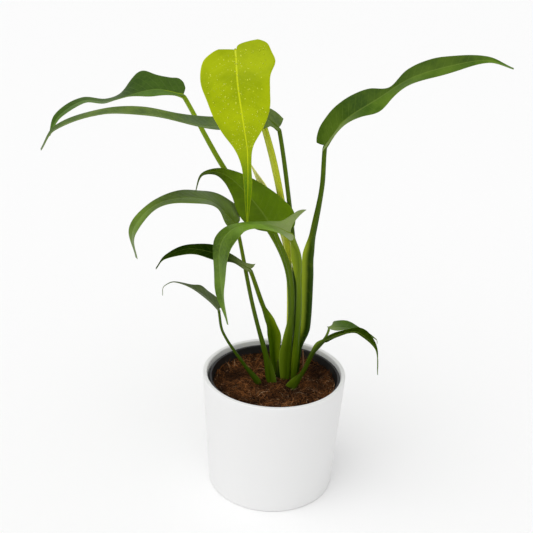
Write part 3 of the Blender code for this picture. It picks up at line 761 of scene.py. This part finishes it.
def leaf_paint(name, rib, vein_strength, rib_strength):
    """A leaf's two faces, with its veins and midrib, a pale margin and a painted grey sheen near its
    stalk.
    """
    shade, light, under = TINTS[name][:3]
    paint = Paint("leaf_" + name, Specular_IOR_Level=0.0 if name in ("dark", "low") else 0.08)
    tip, across, edge, below = (paint.value(n) for n in ("tip", "across", "edge", "under"))
    where = paint.place()
    blotch = paint.noise(where, 38.0, 4.0)
    fine = paint.noise(where, 420.0, 3.0)
    colour = paint.mix(paint.scaled(blotch, 0.35, 0.68), shade, light)
    # painted light and shade along the blade, mixed with the leaf's own tone
    tone_and_shade = TONE_AND_SHADE_GRADES[name][0]
    for step in range(4):
        rise = TONE_AND_SHADE_GRADES[name][step + 1] - TONE_AND_SHADE_GRADES[name][step]
        here = paint.scaled(tip, step / 4, (step + 1) / 4, 0.0, rise)
        tone_and_shade = paint.math("ADD", here, tone_and_shade)
    # painted light and shade on the two halves of the blade
    right_light, left_light = LIT_AND_SHADED_HALVES.get(name, (1.0, 1.0))
    half = paint.scaled(across, -2.0, 2.0, left_light, right_light)
    colour = paint.times(colour, paint.product(tone_and_shade, half))
    if name == "new":
        # the tail turns a deeper green: partly its own colour, partly painted shade where the blade
        # folds away from the light
        on_tail = paint.scaled(tip, 0.45, 0.75)
        colour = paint.mix(on_tail, colour, YOUNG_TAIL)
    # painted sheen: a pale grey reflection painted onto the face next to the stalk
    sheen_mask = paint.scaled(tip, 0.0, 0.3, PAINTED_SHEEN.get(name, 0.0), 0.0)
    if name == "right":
        # the painted sheen covers only the half that faces the light
        lit_half = paint.scaled(across, -1.0, 2.0)
        sheen_mask = paint.product(sheen_mask, lit_half)
    colour = paint.mix(sheen_mask, colour, SHEEN_GREY)
    # lateral veins, as thin lines at even distances
    step = paint.math("FRACT", paint.math("DIVIDE", paint.value("vein"), VEIN_SPACING))
    line = paint.math("ABSOLUTE", paint.math("SUBTRACT", step, 0.5))
    line = paint.scaled(line, 0.43, 0.5)
    inside = paint.scaled(edge, 0.55, 0.95, 1.0, 0.0)
    line = paint.product(line, inside)
    colour = paint.mix(paint.product(line, vein_strength), colour, rib)
    # cells between the veins
    cell = paint.scaled(fine, 0.35, 0.7, 0.0, 0.25)
    colour = paint.mix(cell, colour, light)
    # the midrib
    off_rib = paint.math("ABSOLUTE", across)
    half_rib = paint.scaled(tip, 0.0, 1.0, 1.0, 0.3)
    on_rib = paint.scaled(paint.math("DIVIDE", off_rib, half_rib), 0.35, 1.0, rib_strength, 0.0)
    colour = paint.mix(on_rib, colour, rib)
    # a thin pale margin
    margin = paint.scaled(edge, 0.975, 1.0, 0.0, 0.6)
    colour = paint.mix(margin, colour, rib)
    underside = paint.mix(paint.product(on_rib, 0.7), under, rib)
    colour = paint.mix(below, colour, underside)
    paint.set("Base Color", colour)
    rough = paint.scaled(blotch, 0.3, 0.7, 0.31, 0.44)
    duller = paint.product(below, 0.15)
    paint.set("Roughness", paint.math("ADD", rough, duller))
    cells = paint.product(fine, 0.35)
    height = paint.math("SUBTRACT", cells, paint.product(line, 0.5))
    paint.bump(height, 0.0004, 0.35)
    return paint.material


def stalk_paint(name, top, foot, wing, length):
    """Streaked flesh that changes from the foot to the top, with a thinner, paler wing."""
    paint = Paint("stalk_" + name, 0.4, Specular_IOR_Level=0.1)
    along = paint.value("along")
    side = paint.value("side")
    sheath = paint.value("sheath")
    streaks = paint.vector(paint.product(side, 4.0), paint.product(along, 0.02))
    lines = paint.noise(streaks, 1.6, 4.0)
    spots = paint.noise(paint.place(), 140.0, 3.0)
    body = paint.mix(paint.scaled(along, 0.3 * length, 0.95 * length), foot, top)
    shade = paint.product(paint.scaled(lines, 0.35, 0.7), 0.3)
    body = paint.mix(shade, body, tuple(c * 0.4 for c in foot))
    body = paint.mix(paint.scaled(spots, 0.5, 0.75, 0.0, 0.08), body, wing)
    outer = paint.scaled(side, -0.25, 0.75)
    on_wing = paint.product(sheath, outer)
    body = paint.mix(paint.product(on_wing, 0.85), body, wing)
    rim = paint.product(sheath, paint.scaled(side, 0.9, 0.99, 0.0, 0.8))
    body = paint.mix(rim, body, tuple(min(1.0, c * 1.7 + 0.03) for c in wing))
    paint.set("Base Color", body)
    paint.rough(spots, 0.32, 0.5)
    paint.bump(lines, 0.0004, 0.5)
    return paint.material


def glaze_paint():
    paint = Paint("white_glaze", 0.42)
    where = paint.place()
    cloud = paint.noise(where, 14.0, 2.0)
    colour = paint.mix(cloud, (0.8, 0.8, 0.8), (0.83, 0.83, 0.825))
    paint.set("Base Color", colour)
    paint.rough(cloud, 0.38, 0.48)
    paint.bump(paint.noise(where, 300.0, 2.0), 0.0001, 0.25)
    return paint.material


def plastic_paint():
    paint = Paint("black_plastic", 0.45)
    where = paint.place()
    grain = paint.noise(where, 900.0, 2.0)
    dust = paint.noise(where, 60.0, 4.0)
    dusty = paint.scaled(dust, 0.5, 0.8, 0.0, 0.5)
    colour = paint.mix(dusty, (0.012, 0.012, 0.013), (0.05, 0.04, 0.03))
    paint.set("Base Color", colour)
    paint.rough(dust, 0.4, 0.6)
    paint.bump(grain, 0.0001, 0.3)
    return paint.material


def coir_paint(name):
    paint = Paint(name, 0.9, Specular_IOR_Level=0.15)
    grain = paint.noise(paint.place(), 500.0, 4.0)
    patch = paint.noise(paint.place(), 45.0, 3.0)
    tone = paint.product(paint.value("tone"), paint.scaled(patch, 0.3, 0.7, 0.2, 1.45))
    colour = paint.mix(tone, (0.008, 0.002, 0.0003), (0.42, 0.16, 0.045))
    straw = paint.scaled(paint.value("tone"), 0.85, 1.0, 0.0, 0.7)
    colour = paint.mix(straw, colour, (0.62, 0.44, 0.27))
    colour = paint.mix(paint.scaled(grain, 0.4, 0.75, 0.0, 0.4), colour, (0.06, 0.022, 0.007))
    paint.set("Base Color", colour)
    paint.rough(grain, 0.8, 0.95)
    paint.bump(grain, 0.0004, 0.5)
    return paint.material


def root_paint():
    paint = Paint("root", 0.8)
    streaks = paint.noise(paint.place(), 700.0, 3.0)
    colour = paint.mix(streaks, (0.05, 0.02, 0.008), (0.28, 0.13, 0.05))
    paint.set("Base Color", colour)
    paint.rough(streaks, 0.7, 0.9)
    paint.bump(streaks, 0.0003, 0.5)
    return paint.material


def water_paint():
    """Clear drops drawn as opaque spots slightly lighter than the leaf under them: the lighter tone is
    painted light and glints of the water.
    """
    paint = Paint("water", 0.12, Specular_IOR_Level=0.4)
    # painted light on the drops, varying between two lighter greens
    ripple = paint.noise(paint.place(), 300.0, 1.0)
    paint.set("Base Color", paint.mix(ripple, (0.4, 0.47, 0.004), (0.62, 0.69, 0.03)))
    return paint.material


# ---------------------------------------------------------------- pots


def wall_radius(z):
    """Outer radius of the cover pot at the height z."""
    return POT_FOOT_RADIUS + (POT_RIM_RADIUS - POT_FOOT_RADIUS) * z / POT_HEIGHT


def cover_pot():
    inner = POT_RIM_RADIUS - POT_WALL
    low_in = wall_radius(POT_FLOOR) - POT_WALL
    profile = [(0, 1.2), (50, 1.2), (52, 0.1), (POT_FOOT_RADIUS - 2.5, 0.0)]
    profile += rounded((POT_FOOT_RADIUS, 0), (1, 0), (0.06, 1), 1.6)
    profile += [(wall_radius(z), z) for z in range(8, 108, 8)]
    profile += rounded((POT_RIM_RADIUS, POT_HEIGHT), (0.06, 1), (-1, 0), 1.3)
    profile += rounded((inner, POT_HEIGHT), (-1, 0), (-0.06, -1), 1.5)
    profile += [(wall_radius(z) - POT_WALL, z) for z in range(104, 14, -10)]
    profile += rounded((low_in, POT_FLOOR), (-0.06, -1), (-1, 0), 4.0)
    profile += [(0, POT_FLOOR)]
    pot = turned("cover_pot_fine", profile, glaze_paint())
    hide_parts("cover_pot")
    return pot, "white_glaze"


def liner_radius(z):
    """Outer radius of the nursery pot's wall at the height z."""
    low = POT_FLOOR + GAP
    widening = LINER_RIM_RADIUS - LINER_LIP - LINER_FOOT_RADIUS
    return LINER_FOOT_RADIUS + widening * (z - low) / (LINER_RIM_Z - low)


def nursery_pot():
    low = POT_FLOOR + GAP
    neck = LINER_RIM_Z - LINER_BEAD
    floor = low + LINER_WALL
    profile = [(0, low), (LINER_FOOT_RADIUS - 2, low)]
    profile += rounded((LINER_FOOT_RADIUS, low), (1, 0), (0.12, 1), 1.2)
    profile += [(liner_radius(z), z) for z in range(16, 96, 10)]
    profile += [(liner_radius(neck), neck - 1.0), (LINER_RIM_RADIUS - 0.3, neck - 0.3)]
    profile += rounded((LINER_RIM_RADIUS, neck), (0.4, 0.9), (0, 1), 0.3, 2)
    profile += rounded((LINER_RIM_RADIUS, LINER_RIM_Z), (0, 1), (-1, 0), 0.9)
    profile += rounded((LINER_RIM_RADIUS - 2.3, LINER_RIM_Z), (-1, 0), (0, -1), 0.9)
    profile += [(liner_radius(neck) - LINER_WALL, neck - 1.0)]
    profile += [(liner_radius(z) - LINER_WALL, z) for z in range(96, 12, -12)]
    inner_foot = LINER_FOOT_RADIUS - LINER_WALL
    profile += [(inner_foot, floor + 1), (inner_foot - 1, floor), (0, floor)]
    pot = turned("nursery_pot_fine", profile, plastic_paint())
    pot.location.x = LINER_SHIFT * MM
    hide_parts("nursery_pot")
    return pot, "black_plastic"


# ---------------------------------------------------------------- coir


def soil_level(x, y):
    """Height of the coir's surface, with hummocks and small clods."""
    waves = np.sin(0.19 * x + 0.6) * np.cos(0.16 * y) + 0.6 * np.sin(0.33 * y + 0.21 * x + 2.0)
    clods = np.sin(0.9 * x + 1.7 * np.sin(0.5 * y)) * np.cos(1.1 * y + 1.3 * np.sin(0.7 * x))
    crumbs = np.sin(2.3 * x + 0.8 * y) * np.cos(2.7 * y - 0.9 * x + 1.0)
    heap = SOIL_HEAP * np.minimum(1.0, (x * x + y * y) / liner_radius(SOIL_TOP_Z) ** 2) ** 3
    return SOIL_TOP_Z + heap + SOIL_BUMP * waves + 1.0 * clods + 0.5 * crumbs


def coir_bed(paint):
    """The body of the coir, from the nursery pot's floor up to its uneven surface."""
    slack = LINER_WALL + GAP
    low = POT_FLOOR + GAP + LINER_WALL + GAP
    edge = liner_radius(SOIL_TOP_Z) - slack
    turn = around(COIR_SIDES)
    rings = [(LINER_FOOT_RADIUS - slack - 1, low), (liner_radius(low + 2) - slack - 0.2, low + 2)]
    rings += [(liner_radius(z) - slack, z) for z in (30, 50, 70, 88)]
    points = [[[0.0, 0.0, low]]]
    for radius, z in rings:
        points.append(ring_points(radius, turn, z))
    for radius in np.linspace(edge - 0.3, 0.8, COIR_RINGS):
        x, y = radius * np.cos(turn), radius * np.sin(turn)
        points.append(np.stack([x, y, soil_level(x, y)], 1))
    points.append([[0.0, 0.0, float(soil_level(0.0, 0.0))]])
    faces = capped_faces(len(rings) + COIR_RINGS, COIR_SIDES)
    points = np.concatenate(points)
    tone = 0.06 + 0.05 * np.sin(points[:, 0] * 0.7) * np.cos(points[:, 1] * 0.9)
    return make_mesh("coir_bed", points, faces, paint, values={"tone": tone})


def coir_fibres(name, count, seed, paint):
    """Loose curved fibres that lie over the bed, some with an end standing up."""
    rng = np.random.default_rng(seed)
    limit = liner_radius(SOIL_TOP_Z) - LINER_WALL - 0.6
    segments, sides = 6, 3
    radius = limit * np.sqrt(rng.random(count))
    turn = rng.random(count) * math.tau
    place = np.stack([radius * np.cos(turn), radius * np.sin(turn)], 1)
    heading = rng.random(count) * math.tau
    bend = rng.normal(0, 1.5, count)
    length = rng.uniform(5, 20, count)
    thick = rng.uniform(0.1, 0.34, count)
    lift = rng.random(count) ** 4 * 5.0
    tone = rng.beta(0.8, 1.3, count)
    rows = []
    for i in range(segments + 1):
        t = i / segments
        far = np.linalg.norm(place, axis=1)
        place = place * np.minimum(1, limit / np.maximum(far, 1e-6))[:, None]
        arch = 0.35 + rng.uniform(-0.15, 0.35, count) + lift * t**2 + 0.8 * np.sin(math.pi * t)
        z = soil_level(place[:, 0], place[:, 1]) + arch * (0.2 if i == 0 else 1.0)
        rows.append(np.column_stack([place, z]))
        angle = heading + bend * t
        ahead = np.column_stack([np.cos(angle), np.sin(angle)])
        place = place + ahead * (length / segments)[:, None]
    rows = np.array(rows)
    ways = unit(np.gradient(rows, axis=0))
    flat = unit(np.cross(ways, np.array([0.0, 0.0, 1.0])))
    high = np.cross(flat, ways)
    taper = np.array([0.5, 0.9, 1.0, 1.0, 0.9, 0.7, 0.3])[:, None, None]
    ring = []
    for n in range(sides):
        a = math.tau * n / sides
        ring.append(rows + (flat * math.cos(a) + high * math.sin(a)) * thick[None, :, None] * taper)
    ring = np.array(ring).transpose(2, 1, 0, 3)
    faces = []
    per = (segments + 1) * sides
    for f in range(count):
        base = f * per
        faces += grid_faces(segments + 1, sides, base, wrap=True)
        faces.append((base + 2, base + 1, base))
        end = base + segments * sides
        faces.append((end, end + 1, end + 2))
    return make_mesh(name, ring.reshape(-1, 3), faces, paint, values={"tone": np.repeat(tone, per)})


def coir_crumbs(count, seed, paint):
    """Small uneven crumbs of coir pith."""
    rng = np.random.default_rng(seed)
    limit = liner_radius(SOIL_TOP_Z) - LINER_WALL - 2.0
    corners = np.array([(0, 0, 1), (1, 0, 0.1), (0.2, 1, 0), (-1, 0.1, 0), (0, -1, 0.1), (0, 0, -0.9)])
    shell = [(0, 1, 2), (0, 2, 3), (0, 3, 4), (0, 4, 1), (5, 2, 1), (5, 3, 2), (5, 4, 3), (5, 1, 4)]
    points, faces, tones = [], [], []
    for k in range(count):
        radius = limit * math.sqrt(rng.random())
        turn = rng.random() * math.tau
        x, y = radius * math.cos(turn), radius * math.sin(turn)
        size = rng.uniform(0.4, 1.5)
        spin = rng.random() * math.tau
        stretch = rng.uniform(0.6, 1.3, 3) * size
        jitter = corners * stretch + rng.normal(0, 0.18, corners.shape) * size
        c, s = math.cos(spin), math.sin(spin)
        turned_x = jitter[:, 0] * c - jitter[:, 1] * s + x
        turned_y = jitter[:, 0] * s + jitter[:, 1] * c + y
        level = float(soil_level(x, y)) + 0.25 * size
        points.append(np.column_stack([turned_x, turned_y, jitter[:, 2] * 0.8 + level]))
        faces += [tuple(i + 6 * k for i in f) for f in shell]
        tones += [float(np.clip(rng.normal(0.4, 0.22), 0, 1))] * 6
    return make_mesh("coir_crumbs", np.concatenate(points), faces, paint, values={"tone": tones})


# ---------------------------------------------------------------- dew on the young leaf


def dew(leaf, count, seed, paint):
    """Small clear drops that sit on the upper face of a blade."""
    rng = np.random.default_rng(seed)
    points, faces = [], []
    for _ in range(count):
        s = 0.03 + 0.5 * rng.random() ** 1.2
        t = rng.uniform(-0.92, 0.92)
        size = 0.22 + 0.5 * rng.random() ** 3
        patch, *_ = blade_rows(leaf, [s, s + 0.002], np.array([t, t + 0.01]), 1)
        along = patch[1, 0] - patch[0, 0]
        wide = patch[0, 1] - patch[0, 0]
        up = unit(np.cross(wide, along))
        wide = unit(wide)
        along = np.cross(up, wide)
        centre = patch[0, 0] + up * (BLADE_HALF_THICKNESS - 0.02)
        base = len(points)
        for i in range(DROP_LEVELS):
            lean = math.pi / 2 * i / DROP_LEVELS
            flat = size * math.cos(lean)
            height = DROP_HEIGHT * size * math.sin(lean)
            for n in range(DROP_SIDES):
                turn = math.tau * n / DROP_SIDES
                sideways = wide * (flat * math.cos(turn)) + along * (flat * math.sin(turn) * 1.1)
                points.append(centre + sideways + up * height)
        points.append(centre + up * DROP_HEIGHT * size)
        faces += grid_faces(DROP_LEVELS, DROP_SIDES, base, wrap=True)
        top = base + DROP_LEVELS * DROP_SIDES
        for n in range(DROP_SIDES):
            m = (n + 1) % DROP_SIDES
            faces.append((top - DROP_SIDES + n, top - DROP_SIDES + m, top))
        faces.append(tuple(base + n for n in range(DROP_SIDES - 1, -1, -1)))
    return make_mesh("dew", np.array(points), faces, paint)


# ---------------------------------------------------------------- the plant


def leaf_rib(name):
    """The colour of a leaf's midrib and margin: its light colour, made paler."""
    if name == "new":
        return YOUNG_RIB
    return tuple(0.6 * c + 0.4 * pale for c, pale in zip(TINTS[name][1], PALE_RIB))


def stalk_tail(leaf):
    """Points and radii that carry a leaf's stalk on under its midrib, getting thinner."""
    end = leaf["stalk"][-1][3]
    tail = []
    for s, share in TAIL:
        place, _, face, _ = blade_axes(leaf, s)
        tail.append((place - face * (0.35 + share * end * 0.6), share * end))
    return tail


def build_leaf(name, leaf, seed):
    """A leaf's blade and stalk, each with its material slot."""
    young = name == "new"
    vein_strength, rib_strength = (0.12, 0.9) if young else (0.2, 0.45)
    paint = leaf_paint(name, leaf_rib(name), vein_strength, rib_strength)
    piece = blade("leaf_" + name, leaf, paint, seed)
    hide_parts("blade_" + name)
    pieces = [(piece, "lime_leaf" if young else "green_leaf")]
    length = path_length([Vector(p[:3]) for p in leaf["stalk"]])
    paint = stalk_paint(name, *TINTS[name][3:], length)
    tail = stalk_tail(leaf)
    piece = stalk("petiole_" + name, leaf["stalk"], leaf["broad"], paint, WINGS[name], tail)
    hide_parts("stalk_" + name)
    pieces.append((piece, "lime_stalk" if young else "green_stalk"))
    return pieces


def build_shoot(name, paint, **shape):
    """A piece that grows from the crown without a blade."""
    shoot = SHOOTS[name]
    return stalk(name + "_fine", shoot["stalk"], shoot["broad"], paint, **shape)


def build_plant():
    pieces = []
    for seed, (name, leaf) in enumerate(LEAVES.items()):
        pieces += build_leaf(name, leaf, seed)
    # the near-white cream is partly the shoot's own pale colour, partly painted light shining through
    # the thin leaf
    paint = stalk_paint("young_leaf", (1.0, 1.0, 0.3), (0.6, 0.65, 0.12), (1.0, 1.0, 0.35), 230)
    piece = build_shoot("young_leaf", paint, wing=-1)
    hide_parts("young_leaf")
    pieces.append((piece, "pale_shoot"))
    paint = stalk_paint("crown", (0.06, 0.09, 0.005), (0.02, 0.045, 0.002), (0.2, 0.2, 0.05), 25)
    piece = build_shoot("crown_stump", paint)
    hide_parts("crown_stump")
    pieces.append((piece, "green_stalk"))
    piece = build_shoot("aerial_root", root_paint(), sides=12, step=1.0)
    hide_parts("aerial_root")
    pieces.append((piece, "root"))
    pieces.append((dew(LEAVES["new"], 420, 5, water_paint()), "lime_leaf"))
    return pieces


def build_pots():
    pieces = [cover_pot(), nursery_pot()]
    bed = coir_bed(coir_paint("coir_bed"))
    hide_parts("coir")
    pieces.append((bed, "coir_fibre"))
    fibre = coir_paint("coir_fibre")
    pieces.append((coir_fibres("coir_fibres_low", 2300, 3, fibre), "coir_fibre"))
    pieces.append((coir_fibres("coir_fibres_high", 1500, 4, fibre), "coir_fibre"))
    pieces.append((coir_crumbs(900, 6, fibre), "coir_fibre"))
    for filling, _ in pieces[2:]:
        filling.location.x = LINER_SHIFT * MM
    return pieces


# ---------------------------------------------------------------- camera, floor and light


def camera():
    data = bpy.data.cameras.new("camera")
    data.sensor_width = CAMERA_SENSOR
    data.lens = CAMERA_LENS
    data.clip_end = 50.0
    result = add_object("camera", data)
    tilt = Matrix.Rotation(math.radians(CAMERA_TILT), 4, "X")
    roll = Matrix.Rotation(math.radians(CAMERA_ROLL), 4, "Z")
    result.matrix_world = Matrix.Translation(CAMERA_PLACE) @ (tilt @ roll)
    bpy.context.scene.camera = result


def surroundings():
    """A white floor and soft light from everywhere, with a broad sun that gives a faint shadow."""
    world = bpy.data.worlds.new("studio")
    bpy.context.scene.world = world
    world.use_nodes = True
    back = world.node_tree.nodes["Background"]
    back.inputs["Strength"].default_value = WORLD_STRENGTH
    back.inputs["Color"].default_value = (1, 1, 1, 1)
    bpy.context.scene.view_settings.view_transform = "Standard"
    floor_paint = Paint("floor", 0.9, Specular_IOR_Level=0.1)
    floor_paint.set("Base Color", (0.93, 0.93, 0.93))
    half = FLOOR_HALF
    corners = [(-half, -half, 0), (half, -half, 0), (half, half, 0), (-half, half, 0)]
    floor = make_mesh("floor", corners, [(0, 1, 2, 3)], floor_paint.material, False)
    sun = bpy.data.lights.new("soft_sun", "SUN")
    sun.energy = SUN_STRENGTH
    sun.angle = math.radians(SUN_SPREAD)
    lamp = add_object("soft_sun", sun)
    lamp.rotation_euler = Vector(SUN_WAY).to_track_quat("-Z", "Y").to_euler()


camera()
surroundings()
for piece, slot_name in build_pots() + build_plant():
    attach(piece, "root")
